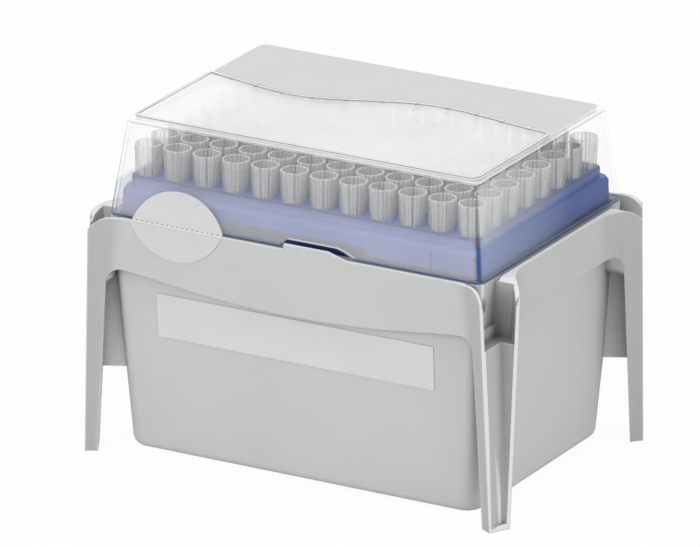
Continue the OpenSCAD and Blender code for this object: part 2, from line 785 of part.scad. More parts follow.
base();
rack();
lid();
front_label();
seal_lower();
seal_upper();
tips_column(1);  // tips_column_01
tips_column(2);  // tips_column_02
tips_column(3);  // tips_column_03
tips_column(4);  // tips_column_04
tips_column(5);  // tips_column_05
tips_column(6);  // tips_column_06
tips_column(7);  // tips_column_07
tips_column(8);  // tips_column_08
tips_column(9);  // tips_column_09
tips_column(10);  // tips_column_10
tips_column(11);  // tips_column_11
tips_column(12);  // tips_column_12
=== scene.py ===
import math

import bmesh
import bpy
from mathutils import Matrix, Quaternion, Vector


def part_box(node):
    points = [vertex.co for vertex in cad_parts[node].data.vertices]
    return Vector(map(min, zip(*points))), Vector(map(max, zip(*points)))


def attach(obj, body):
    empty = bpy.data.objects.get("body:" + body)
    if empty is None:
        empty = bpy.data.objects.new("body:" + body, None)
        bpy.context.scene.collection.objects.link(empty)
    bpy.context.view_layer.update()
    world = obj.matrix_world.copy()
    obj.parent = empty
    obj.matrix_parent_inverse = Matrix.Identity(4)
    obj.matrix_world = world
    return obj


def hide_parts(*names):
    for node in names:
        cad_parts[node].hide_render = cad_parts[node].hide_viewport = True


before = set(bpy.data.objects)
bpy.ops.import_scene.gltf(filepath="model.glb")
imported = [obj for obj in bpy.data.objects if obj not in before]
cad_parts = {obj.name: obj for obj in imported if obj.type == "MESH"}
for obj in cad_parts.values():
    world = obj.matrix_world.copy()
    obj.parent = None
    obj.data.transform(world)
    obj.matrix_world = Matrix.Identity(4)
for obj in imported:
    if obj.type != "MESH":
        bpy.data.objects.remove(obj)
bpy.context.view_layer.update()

MM = 0.001

# --- Sizes, in metres ------------------------------------------------------------

# Heights: the base's rim, the rack's deck, the tips' ends and mouths
RIM_Z = 68.0 * MM
DECK_Z = 78.4 * MM
TIP_END_Z = 16.0 * MM
MOUTH_Z = 87.0 * MM
# The grid of tips
PITCH = 9.0 * MM
COLUMNS, ROWS = 12, 8
# The lid: half size of its foot, how far its walls lean in on their way up, its
# wall, its upright corners, its rounded top edges outside and inside, its foot's lip
LID_FOOT_Z = 68.2 * MM
LID_TOP_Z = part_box("lid")[1].z
LID_FOOT_HALF = (57.3 * MM, 40.8 * MM)
LID_LEAN = (2.3 / 18.8, 2.7 / 18.8)
LID_WALL = 1.1 * MM
LID_CORNER_R = 3.0 * MM
LID_EDGE_R = 1.4 * MM
LID_INNER_R = 0.8 * MM
LID_LIP = 0.25 * MM
# Heights above the lid's foot at which its walls have rings, and steps of its edges
WALL_RINGS = (0.25 * MM, 2 * MM, 4 * MM, 8 * MM, 16 * MM)
EDGE_STEPS = 6
# The hinge's axis, with an arm at each side
HINGE_X = 30.0 * MM
HINGE_Y = 44.0 * MM
HINGE_Z = 69.5 * MM
# The thumb notch in the lid's foot: its left end, where it starts to come down and
# where it ends, its height, and how far up the wall is bent for it
NOTCH_FROM = -3.0 * MM
NOTCH_TO = 12.8 * MM
NOTCH_END = 20.0 * MM
NOTCH_H = 2.2 * MM
NOTCH_BEND = 8 * MM
# On the lid's top: the low end of the S-shaped border, the bead round the panel in
# front of it, and the printed field behind it
BORDER_LOW_Y = 1.6 * MM
PANEL_LEFT, PANEL_RIGHT, PANEL_FRONT, PANEL_R = -52.4 * MM, 52.0 * MM, -34.6 * MM, 2.4 * MM
BEAD_R = 0.5 * MM
PRINT_SIDE, PRINT_BACK, PRINT_R = 52.3 * MM, 35.4 * MM, 2.2 * MM
# Half size of the ledge round the lid's foot, and the way the near right leg points
LEDGE_HALF = (58.4 * MM, 41.3 * MM)
LEG_OUT = (0.887, 0.462)
# Radius of the base's softened edges, and how far off another wall makes one inner
EDGE_R = 0.63 * MM
EDGE_AIR = 1.125 * MM
# Sides and flutes of a tip, bridges across the seal's perforation, the seal's film
TIP_SIDES = 60
FLUTES = 10
BRIDGES = 18
SEAL_THICK = 0.1 * MM
# Points closer than this are one
WELD = 0.001 * MM

WHITE = (1, 1, 1, 1)


# --- Node trees ------------------------------------------------------------------

def linear(*rgb):
    """Linear colour of 0 to 255 display values."""
    out = []
    for v in rgb:
        c = v / 255
        out.append(c / 12.92 if c <= 0.04045 else ((c + 0.055) / 1.055) ** 2.4)
    return (*out, 1.0)


class Tree:
    """Short way to add nodes to a material or a world."""

    def __init__(self, owner):
        owner.use_nodes = True
        self.tree = owner.node_tree

    def add(self, kind, **values):
        node = self.tree.nodes.new(kind)
        for key, value in values.items():
            setattr(node, key, value)
        return node

    def link(self, a, b):
        self.tree.links.new(a, b)

    def feed(self, value, socket):
        """Link a node's output to a socket, or set the socket to a plain value."""
        if isinstance(value, bpy.types.NodeSocket):
            self.link(value, socket)
        else:
            socket.default_value = value

    def math(self, operation, a, b=None, clamp=False):
        node = self.add("ShaderNodeMath", operation=operation, use_clamp=clamp)
        self.feed(a, node.inputs[0])
        if b is not None:
            self.feed(b, node.inputs[1])
        return node.outputs[0]

    def plus(self, a, b, clamp=False):
        return self.math("ADD", a, b, clamp)

    def minus(self, a, b):
        return self.math("SUBTRACT", a, b)

    def times(self, a, b):
        return self.math("MULTIPLY", a, b)

    def most(self, a, b):
        return self.math("MAXIMUM", a, b)

    def unsigned(self, a):
        return self.math("ABSOLUTE", a)

    def mix_shaders(self, share, a, b, output):
        """Shader a, with b in its place by share, as the surface of the output node."""
        mix = self.add("ShaderNodeMixShader")
        self.link(share, mix.inputs["Fac"])
        self.link(a.outputs[0], mix.inputs[1])
        self.link(b.outputs[0], mix.inputs[2])
        self.link(mix.outputs[0], self.tree.nodes[output].inputs["Surface"])


class Nodes(Tree):
    """A material with one Principled shader, and what its patterns are made of."""

    def __init__(self, name):
        self.mat = bpy.data.materials.new(name)
        super().__init__(self.mat)
        self.bsdf = self.tree.nodes["Principled BSDF"]
        self.coord = self.add("ShaderNodeTexCoord")

    def set(self, **values):
        for key, value in values.items():
            self.bsdf.inputs[key.replace("_", " ")].default_value = value

    def give(self, **outputs):
        for key, output in outputs.items():
            self.link(output, self.bsdf.inputs[key.replace("_", " ")])

    def split(self, name):
        node = self.add("ShaderNodeSeparateXYZ")
        self.link(self.coord.outputs[name], node.inputs[0])
        return node.outputs

    def place(self):
        """The place in the object, as x, y and z."""
        return self.split("Object")

    def normal(self):
        """The way a face looks, as x, y and z."""
        return self.split("Normal")

    def outward(self, x, y):
        """The normal, its x and y above 0 where a face looks away from the middle."""
        nx, ny, nz = self.normal()
        return self.times(nx, self.math("SIGN", x)), self.times(ny, self.math("SIGN", y)), nz

    def ramp(self, value, lo, hi, to_lo=0.0, to_hi=1.0):
        node = self.add("ShaderNodeMapRange", clamp=True)
        self.link(value, node.inputs["Value"])
        node.inputs["From Min"].default_value = lo
        node.inputs["From Max"].default_value = hi
        node.inputs["To Min"].default_value = to_lo
        node.inputs["To Max"].default_value = to_hi
        return node.outputs["Result"]

    def between(self, value, lo, hi, soft):
        """1 inside lo to hi, fading to 0 over soft on both sides."""
        return self.times(self.ramp(value, lo - soft, lo), self.ramp(value, hi, hi + soft, 1.0, 0.0))

    def within(self, value, half):
        """1 up to half on both sides of the middle, and 0 past it."""
        return self.ramp(self.unsigned(value), half, half - 0.2 * MM)

    def noise(self, scale, detail):
        node = self.add("ShaderNodeTexNoise")
        self.link(self.coord.outputs["Object"], node.inputs["Vector"])
        node.inputs["Scale"].default_value = scale
        node.inputs["Detail"].default_value = detail
        return node.outputs["Fac"]

    def cloud(self, scale, detail):
        """Noise stretched to run from 0 to 1."""
        return self.ramp(self.noise(scale, detail), 0.3, 0.7)

    def in_cell(self, value, shift):
        """-0.5 to 0.5 across each cell of the tips' grid, or of one shifted from it."""
        return self.minus(self.math("FRACT", self.plus(self.math("DIVIDE", value, PITCH), shift)), 0.5)

    def edge_on(self, power):
        """0 where a face is seen square on, 1 where it is seen edge on."""
        facing = self.add("ShaderNodeLayerWeight")
        facing.inputs["Blend"].default_value = 0.5
        return self.math("POWER", facing.outputs["Facing"], power)

    def open_air(self, distance):
        """1 on open faces, towards 0 in corners and hollows no wider than distance."""
        node = self.add("ShaderNodeAmbientOcclusion", samples=6, only_local=True)
        node.inputs["Distance"].default_value = distance
        return node.outputs["AO"]

    def mix(self, share, a, b):
        """Colour a, with b in its place by share."""
        node = self.add("ShaderNodeMix", data_type="RGBA")
        self.link(share, node.inputs[0])
        sockets = [s for s in node.inputs if s.type == "RGBA"]
        self.feed(a, sockets[0])
        self.feed(b, sockets[1])
        return [s for s in node.outputs if s.type == "RGBA"][0]

    def bump(self, scale, detail, strength, normal=None):
        """Fine unevenness, 0.1 mm deep at a strength of 1."""
        node = self.add("ShaderNodeBump")
        if normal is not None:
            self.link(normal, node.inputs["Normal"])
        node.inputs["Strength"].default_value = strength
        node.inputs["Distance"].default_value = 0.1 * MM
        self.link(self.noise(scale, detail), node.inputs["Height"])
        self.give(Normal=node.outputs["Normal"])


# --- Materials -------------------------------------------------------------------

def moulded_grey():
    """Light grey polypropylene, with painted shade in hollows, on legs and ledge, and painted highlights
    on edges.
    """
    n = Nodes("moulded_grey")
    x, y, z = n.place()
    cloud = n.cloud(24, 3)
    soft, rounded = rounded_edges(n)
    ends, ledge = wall_ends(n, x, y, z)
    # Painted shade: darker in corners and hollows, by the local ambient occlusion
    hollow_shade = n.ramp(n.open_air(16 * MM), 0.72, 0.2)
    # The legs stand out past the skirt, where it flares; they are painted darker, as shade
    leg_shade = n.most(n.ramp(n.unsigned(x), 59 * MM, 60 * MM), n.ramp(n.unsigned(y), 42.2 * MM, 43.2 * MM))
    tone = n.mix(cloud, linear(202, 202, 203), linear(206, 206, 206))
    tone = n.mix(n.times(hollow_shade, 0.85), tone, linear(76, 76, 78))
    tone = n.mix(n.times(leg_shade, 0.5), tone, linear(162, 162, 163))
    # Painted highlights, pale on the free-standing edges and on the walls' narrow ends and tops
    tone = n.mix(n.most(rounded, ends), tone, linear(243, 243, 243))
    # Painted shadow on the ledge under the lid's foot
    tone = n.mix(ledge, tone, linear(110, 110, 116))
    n.give(Base_Color=tone, Roughness=n.ramp(cloud, 0, 1, 0.42, 0.5))
    n.set(Specular_IOR_Level=0.4)
    n.bump(2600, 2, 0.08, soft)
    return n.mat


def rounded_edges(n):
    """Normals that run round the edges, and a mask of the edges that stand free, where a highlight is
    painted.
    """
    soft = n.add("ShaderNodeBevel", samples=6)
    soft.inputs["Radius"].default_value = EDGE_R
    face = n.add("ShaderNodeNewGeometry")
    turn = n.add("ShaderNodeVectorMath", operation="DOT_PRODUCT")
    n.link(soft.outputs[0], turn.inputs[0])
    n.link(face.outputs["Normal"], turn.inputs[1])
    edge = n.ramp(turn.outputs["Value"], 0.985, 0.83)
    free = n.ramp(n.open_air(EDGE_AIR), 0.72, 0.95)
    return soft.outputs[0], n.times(n.times(edge, free), 0.85)


def wall_ends(n, x, y, z):
    """Masks of the walls' narrow ends and tops, where a highlight is painted, and of the ledge inside
    them, where a shadow is painted.
    """
    out_x, out_y, nz = n.outward(x, y)
    along = n.plus(n.times(out_x, LEG_OUT[0]), n.times(out_y, LEG_OUT[1]))
    end = n.most(n.ramp(along, 0.985, 0.995), n.ramp(along, -0.985, -0.995))
    crown = n.times(n.ramp(nz, 0.14, 0.28), n.ramp(z, RIM_Z - 9 * MM, RIM_Z - 8 * MM))
    ledge = n.times(crown, n.times(n.within(x, LEDGE_HALF[0]), n.within(y, LEDGE_HALF[1])))
    return n.times(n.most(end, n.minus(crown, ledge)), 0.8), n.times(ledge, 0.8)


def rack_blue():
    """Blue polypropylene; the ribs behind its walls show as faint upright lines."""
    n = Nodes("rack_blue")
    x, _, z = n.place()
    nx, ny, nz = n.normal()
    cloud = n.cloud(60, 2)
    rib = n.ramp(n.unsigned(n.in_cell(x, 0.5)), 0.45, 0.48)
    # The corners, and a thin line just under the deck's edge, are darker
    corner = n.ramp(n.times(n.unsigned(nx), n.unsigned(ny)), 0.12, 0.36)
    upright = n.ramp(n.unsigned(nz), 0.95, 0.85)
    deck_edge = n.times(n.between(z, DECK_Z - 0.5 * MM, DECK_Z - 0.05 * MM, 0.1 * MM), upright)
    # The foot stands in the base's shade, and behind the lid's notch in the lid's
    notch = n.times(n.ramp(n.unsigned(x), NOTCH_END + 2 * MM, NOTCH_END), n.ramp(ny, -0.8, -0.95))
    notch = n.times(notch, n.ramp(z, RIM_Z + 3.6 * MM, RIM_Z + 2.8 * MM))
    shade = n.most(notch, n.ramp(z, RIM_Z + 1.1 * MM, RIM_Z + 0.7 * MM))
    tone = n.mix(cloud, linear(38, 76, 160), linear(44, 84, 168))
    tone = n.mix(n.times(rib, 0.35), tone, linear(30, 54, 128))
    tone = n.mix(corner, tone, linear(4, 42, 112))
    tone = n.mix(n.times(deck_edge, 0.9), tone, linear(14, 22, 52))
    tone = n.mix(n.times(shade, 0.8), tone, linear(14, 22, 48))
    n.give(Base_Color=tone, Roughness=n.ramp(cloud, 0, 1, 0.3, 0.38))
    n.set(Specular_IOR_Level=0.4)
    n.bump(900, 2, 0.04)
    return n.mat


def clear_lid():
    """Clear polystyrene: whiter in front, with a painted reflection on top and painted lines along its
    edges.
    """
    n = Nodes("clear_lid")
    x, y, z = n.place()
    out_x, out_y, nz = n.outward(x, y)
    short_side = n.ramp(out_x, 0.75, 0.95)
    beside_rack = n.ramp(z, DECK_Z - 0.5 * MM, DECK_Z - 1.5 * MM)
    # An end wall seen from inside, beside the rack, is painted with the rack's blue as a reflection
    rack_reflection = n.times(n.ramp(n.times(out_x, -1.0), 0.75, 0.95), beside_rack)
    whitening = lid_whitening(n, y, z, out_y, nz, short_side)
    # Painted highlight band and painted shade lines along the lid's edges
    band, dark = lid_lines(n, z, out_x, out_y, nz, beside_rack)
    alpha = n.most(whitening, n.most(n.times(band, 0.5), dark))
    alpha = n.most(alpha, n.times(rack_reflection, 0.22))
    # Painted reflection of the rack: beside it the lines turn blue and the end walls take a blue tint
    line_tone = n.mix(beside_rack, linear(96, 100, 112), linear(30, 78, 140))
    rack_tint = n.times(n.times(short_side, beside_rack), 0.7)
    tone = n.mix(rack_tint, linear(250, 250, 250), linear(206, 224, 255))
    tone = n.mix(n.ramp(dark, 0.03, 0.25), tone, line_tone)
    tone = n.mix(rack_reflection, tone, linear(132, 146, 184))
    n.give(Base_Color=tone, Alpha=alpha, Roughness=n.ramp(n.cloud(120, 2), 0, 1, 0.06, 0.12))
    n.set(Specular_IOR_Level=0.5)
    return n.mat


def lid_whitening(n, y, z, out_y, nz, short_side):
    """Painted reflection: the top white at a low angle and clear straight on, every face whiter seen edge
    on; the walls also whiter low down and in front.
    """
    top = n.times(n.ramp(nz, 0.9, 0.98), n.ramp(n.edge_on(1.0), 0.15, 0.66, 0.04, 0.56))
    long_side = n.times(n.ramp(out_y, 0.75, 0.95), n.ramp(z, DECK_Z - 1 * MM, DECK_Z + 3 * MM, 0.2, 0.07))
    short_side = n.times(short_side, n.ramp(y, -36 * MM, 12 * MM, 0.23, 0.03))
    streak = n.ramp(n.noise(35, 3), 0.35, 0.65, 0.9, 1.1)
    whitening = n.times(n.plus(n.plus(top, long_side), short_side), streak)
    return n.plus(n.plus(whitening, 0.01), n.times(n.edge_on(4.0), 0.2), clamp=True)


def lid_lines(n, z, out_x, out_y, nz, beside_rack):
    """A painted highlight band round the top, and painted shade lines under it, up the corners and along
    the foot.
    """
    band = n.between(nz, 0.62, 0.84, 0.04)
    under = n.times(n.between(nz, 0.3, 0.5, 0.04), 0.25)
    corner = n.times(n.times(n.most(out_x, 0.0), n.most(out_y, 0.0)), n.ramp(nz, 0.4, 0.3))
    corner = n.times(n.ramp(corner, 0.45, 0.48), n.plus(n.times(beside_rack, 0.4), 0.45))
    foot = n.times(n.ramp(z, LID_FOOT_Z + 0.6 * MM, LID_FOOT_Z + 0.2 * MM), 0.35)
    return band, n.most(n.most(under, corner), foot)


def bead_plastic():
    """The same clear plastic, seen in a thin raised bead, painted lighter on top and darker on its sides.
    """
    n = Nodes("bead_plastic")
    # Painted light on the bead's top and painted shade on its sides
    crown = n.ramp(n.normal()[2], 0.45, 0.8)
    cloud = n.ramp(n.noise(160, 2), 0.35, 0.65, 0.85, 1.0)
    n.give(Base_Color=n.mix(crown, linear(150, 152, 156), linear(252, 252, 252)),
           Alpha=n.times(cloud, 0.8), Roughness=n.ramp(cloud, 0.85, 1.0, 0.1, 0.16))
    return n.mat


def tip_plastic():
    """Natural polypropylene: see-through, streaked along its flutes, with a pale rim and painted shade
    seen edge on.
    """
    n = Nodes("tip_plastic")
    x, y, z = n.place()
    turn = n.math("ARCTAN2", n.in_cell(y, 0), n.in_cell(x, 0))
    flute = n.math("COSINE", n.times(turn, 2 * FLUTES))
    # Wider streaks, at another turn on each column
    wisp = n.math("COSINE", n.plus(n.times(turn, 7), n.times(x, 900)))
    streak = n.plus(n.times(flute, 0.42), n.times(wisp, 0.3))
    rim = n.ramp(z, MOUTH_Z - 0.35 * MM, MOUTH_Z - 0.15 * MM)
    # Painted shade: darker and denser where the tips are seen edge on
    edge = n.edge_on(1.6)
    dense = n.plus(n.times(edge, 0.42), n.times(streak, 0.24))
    alpha = n.plus(n.plus(dense, 0.22), n.times(rim, 0.14), clamp=True)
    shade = n.plus(edge, n.times(streak, 0.6), clamp=True)
    tone = n.mix(shade, linear(255, 255, 254), linear(150, 150, 152))
    tone = n.mix(rim, tone, linear(238, 238, 239))
    n.give(Base_Color=tone, Alpha=alpha, Roughness=n.ramp(n.cloud(300, 2), 0, 1, 0.18, 0.28))
    n.set(Specular_IOR_Level=0.5)
    return n.mat


def film(name, dark, light, rough):
    """Plain film, slightly cloudy in tone and gloss."""
    n = Nodes(name)
    cloud = n.cloud(90, 3)
    n.give(Base_Color=n.mix(cloud, linear(*dark), linear(*light)),
           Roughness=n.ramp(cloud, 0, 1, rough - 0.05, rough + 0.05))
    n.bump(1800, 3, 0.05)
    return n.mat


# --- Mesh helpers ----------------------------------------------------------------

def add_piece(name, mesh, mat, body, sharp):
    """New piece that shows a mesh, smooth but for edges of more than sharp degrees."""
    mesh.shade_smooth()
    mesh.set_sharp_from_angle(angle=math.radians(sharp))
    mesh.materials.append(mat)
    piece = bpy.data.objects.new(name, mesh)
    bpy.context.scene.collection.objects.link(piece)
    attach(piece, body)
    return piece


def weld(piece, distance):
    piece.modifiers.new("weld", "WELD").merge_threshold = distance


class Parts:
    """Vertices and faces of several closed forms, gathered for one piece."""

    def __init__(self):
        self.verts = []
        self.faces = []

    def loft(self, rings, caps=True):
        """Skin over rings of as many points each, closed at both ends by caps."""
        start, n = len(self.verts), len(rings[0])
        for ring in rings:
            self.verts.extend(ring)
        for k in range(len(rings) - 1):
            a, b = start + k * n, start + (k + 1) * n
            for i in range(n):
                j = (i + 1) % n
                self.faces.append((a + i, a + j, b + j, b + i))
        if caps:
            last = start + (len(rings) - 1) * n
            self.faces.append(tuple(range(start, start + n))[::-1])
            self.faces.append(tuple(range(last, last + n)))

    def loop(self, rings):
        """Skin over rings that lead back to the first one."""
        self.loft(rings + [rings[0]], caps=False)

    def tube_along_x(self, x0, x1, y, z, r, bevel, sides=28):
        def ring(x, rr):
            return [(x, y + rr * math.cos(2 * math.pi * i / sides),
                     z + rr * math.sin(2 * math.pi * i / sides)) for i in range(sides)]
        self.loft([ring(x0, r - bevel), ring(x0 + bevel, r), ring(x1 - bevel, r), ring(x1, r - bevel)])

    def piece(self, name, mat, body, slot):
        mesh = bpy.data.meshes.new(name)
        mesh.from_pydata([tuple(v) for v in self.verts], [], self.faces)
        mesh.validate()
        bm = bmesh.new()
        bm.from_mesh(mesh)
        bmesh.ops.recalc_face_normals(bm, faces=bm.faces)
        bm.to_mesh(mesh)
        bm.free()
        return add_piece(name, mesh, mat, body, sharp=32)


def smooth_step(t):
    t = min(max(t, 0.0), 1.0)
    return t * t * (3 - 2 * t)


def turn_corner(center, r, start_deg, end_deg, steps=6):
    """Points of an arc round center."""
    angles = [math.radians(start_deg + (end_deg - start_deg) * k / steps) for k in range(steps + 1)]
    return [(center[0] + r * math.cos(a), center[1] + r * math.sin(a)) for a in angles]


def rounded_outline(half, r, corner_steps=10, long_steps=56, short_steps=10):
    """Counter-clockwise rounded rectangle as (x, y) points, starting at +X."""
    arcs = [turn_corner((sx * (half[0] - r), sy * (half[1] - r)), r, 90 * q, 90 * (q + 1), corner_steps)
            for q, (sx, sy) in enumerate(((1, 1), (-1, 1), (-1, -1), (1, -1)))]
    points = []
    for q, arc in enumerate(arcs):
        (x0, y0), (x1, y1) = arc[-1], arcs[(q + 1) % 4][0]
        steps = short_steps if q % 2 else long_steps
        points += arc
        points += [(x0 + (x1 - x0) * k / steps, y0 + (y1 - y0) * k / steps) for k in range(1, steps)]
    return points


# --- Lid -------------------------------------------------------------------------

def notch_height(x, y):
    """How far the lid's foot is raised for the thumb at a point of its front."""
    if y > 0:
        return 0.0
    step = 0.4 * MM
    up = smooth_step((x - NOTCH_FROM + step) / (2 * step))
    down = 1 - smooth_step((x - NOTCH_TO) / (NOTCH_END - NOTCH_TO))
    return NOTCH_H * up * down


def lid_ring(inward, less_r, z):
    """Ring of the lid's wall, drawn in by inward; near the foot it follows the notch."""
    half = [h - lean * (z - LID_FOOT_Z) - inward for h, lean in zip(LID_FOOT_HALF, LID_LEAN)]
    ring = []
    for x, y in rounded_outline(half, LID_CORNER_R - less_r):
        lift = notch_height(x, y) * max(0.0, 1 - (z - LID_FOOT_Z) / NOTCH_BEND)
        ring.append((x, y + LID_LEAN[1] * lift, z + lift))
    return ring


def edge_rings(inward, r, top_z):
    """Rings of a rounded edge, from the wall up to the flat at top_z."""
    rings = []
    for k in range(EDGE_STEPS + 1):
        a = math.pi / 2 * k / EDGE_STEPS
        over = r * (1 - math.cos(a))
        rings.append(lid_ring(inward + over, inward + over / 2, top_z - r * (1 - math.sin(a))))
    return rings


def build_lid(mat):
    """One shell: down the inside from the ceiling, round the foot and up the outside."""
    rings = edge_rings(LID_WALL, LID_INNER_R, LID_TOP_Z - LID_WALL)[::-1]
    rings += [lid_ring(LID_WALL, LID_WALL, LID_FOOT_Z + z) for z in WALL_RINGS[::-1]]
    rings += [lid_ring(drawn, drawn, LID_FOOT_Z) for drawn in (LID_WALL - LID_LIP, LID_LIP)]
    rings += [lid_ring(0, 0, LID_FOOT_Z + z) for z in WALL_RINGS]
    rings += edge_rings(0, LID_EDGE_R, LID_TOP_Z)
    parts = Parts()
    parts.loft(rings)
    add_hinge_arms(parts)
    shell = parts.piece("lid_shell", mat, "lid", "clear_lid")
    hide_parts("lid")


def add_hinge_arms(parts):
    """Two arms from the lid's back foot to the hinge axis, each with its pin."""
    arm_half, arm_r = 2.5 * MM, 2.0 * MM
    pin_half, pin_r = 4.8 * MM, 1.2 * MM
    arm_bevel, pin_bevel = 0.25 * MM, 0.2 * MM
    from_y = LID_FOOT_HALF[1] - 0.3 * MM
    low, high = HINGE_Z - arm_r / 2, HINGE_Z + arm_r / 2

    def plate(x, y, inset):
        w = arm_half - inset
        return [(x - w, y, low + inset), (x + w, y, low + inset),
                (x + w, y, high - inset), (x - w, y, high - inset)]

    for x in (-HINGE_X, HINGE_X):
        parts.tube_along_x(x - arm_half, x + arm_half, HINGE_Y, HINGE_Z, arm_r, arm_bevel)
        parts.tube_along_x(x - pin_half, x + pin_half, HINGE_Y, HINGE_Z, pin_r, pin_bevel)
        parts.loft([plate(x, from_y, 0), plate(x, HINGE_Y - arm_bevel, 0), plate(x, HINGE_Y, arm_bevel)])


def border_y(x):
    """The S-shaped border across the lid's top: low left of the middle, high right of it."""
    climb = 11.0 * MM * smooth_step((x + 24 * MM) / (40 * MM))
    left_end = 5.4 * MM * smooth_step((-x - 24 * MM) / (32 * MM))
    right_end = 4.6 * MM * smooth_step((x - 18 * MM) / (34 * MM))
    return BORDER_LOW_Y + climb + left_end - right_end


def border_points(left, right, count=48):
    xs = [left + (right - left) * k / count for k in range(count + 1)]
    return [(x, border_y(x)) for x in xs]


def panel_path():
    """Closed path of the raised bead round the front panel of the lid's top."""
    left, right, front, r = PANEL_LEFT, PANEL_RIGHT, PANEL_FRONT, PANEL_R
    path = border_points(left, right - r)
    path += turn_corner((right - r, path[-1][1] - r), r, 75, 0)
    path += turn_corner((right - r, front + r), r, 0, -90)
    path += turn_corner((left + r, front + r), r, -90, -180)
    return path


def path_rings(path, z, r, sides=10):
    """Rings of a slightly flat tube along a closed path at height z."""
    rings = []
    for i, (x, y) in enumerate(path):
        ax, ay = path[i - 1]
        bx, by = path[(i + 1) % len(path)]
        run = math.hypot(bx - ax, by - ay)
        nx, ny = (by - ay) / run, -(bx - ax) / run
        rings.append([(x + nx * r * math.cos(a), y + ny * r * math.cos(a), z + 0.7 * r * math.sin(a))
                      for a in (2 * math.pi * k / sides for k in range(sides))])
    return rings


def rib_end(x, z, side):
    """Front or back end of a small rib across the bead, wider and longer at its foot."""
    foot_y, head_y = border_y(x) + side * 1.1 * MM, border_y(x) + side * 0.9 * MM
    foot_z, head_z = z - 0.2 * MM, z + 0.3 * MM
    return [(x - 0.3 * MM, foot_y, foot_z), (x + 0.3 * MM, foot_y, foot_z),
            (x + 0.2 * MM, head_y, head_z), (x - 0.2 * MM, head_y, head_z)]


def build_lid_bead(mat):
    """The bead round the front panel, with a small rib between each two columns of tips."""
    parts = Parts()
    z = LID_TOP_Z + 0.02 * MM
    parts.loop(path_rings(panel_path(), z, BEAD_R))
    for k in range(1, COLUMNS):
        x = (k - COLUMNS / 2) * PITCH
        parts.loft([rib_end(x, z, side) for side in (-1, 1)])
    weld(parts.piece("lid_bead", mat, "lid", "clear_lid"), WELD)


def build_lid_print(mat):
    """The plain printed field behind the border, as a thin sheet."""
    side, back, r = PRINT_SIDE, PRINT_BACK, PRINT_R
    edge = [(x, y + 1.5 * MM) for x, y in border_points(-side, side)]
    edge += turn_corner((side - r, back - r), r, 0, 90)
    edge += turn_corner((-side + r, back - r), r, 90, 180)
    low, high, inset = LID_TOP_Z - 0.02 * MM, LID_TOP_Z + 0.03 * MM, 0.02 * MM
    sheet = Parts()
    sheet.loft([[(x, y, low) for x, y in edge], [(x, y, high) for x, y in edge],
                [(x * (1 - inset / side), y, high + inset) for x, y in edge]])
    sheet.piece("lid_print", mat, "lid", "label_film")


# --- Tips ------------------------------------------------------------------------

def tip_profile():
    """A tip's (radius, height, flute depth), up the outside and then down the inside."""
    nose = [(0.55, 0, 0), (0.75, 0.15, 0), (0.9, 2, 0), (1.8, 27, 0)]
    collar = [(2.95, -0.05, 0), (3.35, 0, 0), (3.5, 0.6, 0)]
    fluted = [(3.52, 1.2, 0.16), (3.68, 5.2, 0.16), (3.72, 5.9, 0)]
    rim = [(3.86, -2.4, 0), (3.9, -0.3, 0), (3.82, -0.05, 0), (3.72, 0, 0), (3.42, 0, 0), (3.32, -0.15, 0)]
    bore = [(3.3, 5.6, 0), (2.75, 0, 0)]
    nose_bore = [(1.2, 27, 0), (0.4, 1, 0), (0.4, 0, 0)]
    above = [(TIP_END_Z, nose), (DECK_Z, collar + fluted), (MOUTH_Z, rim),
             (DECK_Z, bore), (TIP_END_Z, nose_bore)]
    return [(r * MM, from_z + z * MM, flute * MM) for from_z, points in above for r, z, flute in points]


def tip_rings(cx, cy):
    angles = [2 * math.pi * i / TIP_SIDES for i in range(TIP_SIDES)]
    waves = [max(0.0, math.cos(FLUTES * a)) ** 0.5 for a in angles]
    return [[(cx + (r + flute * wave) * math.cos(a), cy + (r + flute * wave) * math.sin(a), z)
             for a, wave in zip(angles, waves)] for r, z, flute in tip_profile()]


def build_tips(mat):
    """One piece for each column of tips, in place of the column's solids."""
    for c in range(COLUMNS):
        parts = Parts()
        for j in range(ROWS):
            parts.loop(tip_rings((c - (COLUMNS - 1) / 2) * PITCH, (j - (ROWS - 1) / 2) * PITCH))
        column = parts.piece(f"tips_{c + 1:02d}", mat, "base", "tip_plastic")
        weld(column, WELD)
        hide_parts(f"tips_column_{c + 1:02d}")


# --- Base, rack, label and seal --------------------------------------------------

def build_base(mat):
    """The base's own faces, merged and smoothly shaded."""
    bm = bmesh.new()
    bm.from_mesh(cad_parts["base"].data)
    bmesh.ops.remove_doubles(bm, verts=bm.verts, dist=2 * WELD)
    bmesh.ops.dissolve_limit(bm, angle_limit=math.radians(0.5), verts=bm.verts, edges=bm.edges)
    mesh = bpy.data.meshes.new("base_shell")
    bm.to_mesh(mesh)
    bm.free()
    shell = add_piece("base_shell", mesh, mat, "base", sharp=26)
    shell.modifiers.new("even", "WEIGHTED_NORMAL").keep_sharp = True
    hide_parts("base")


def dress(node, mat, bevel=0.0):
    """Give a solid that stays its material, and rounded edges if bevel is set."""
    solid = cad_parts[node]
    solid.data.materials.clear()
    solid.data.materials.append(mat)
    weld(solid, 2 * WELD)
    if bevel:
        edges = solid.modifiers.new("bevel", "BEVEL")
        edges.width = bevel
        edges.segments = 2
        edges.limit_method = "ANGLE"
        edges.angle_limit = math.radians(30)
        edges.harden_normals = True
        edges.use_clamp_overlap = True


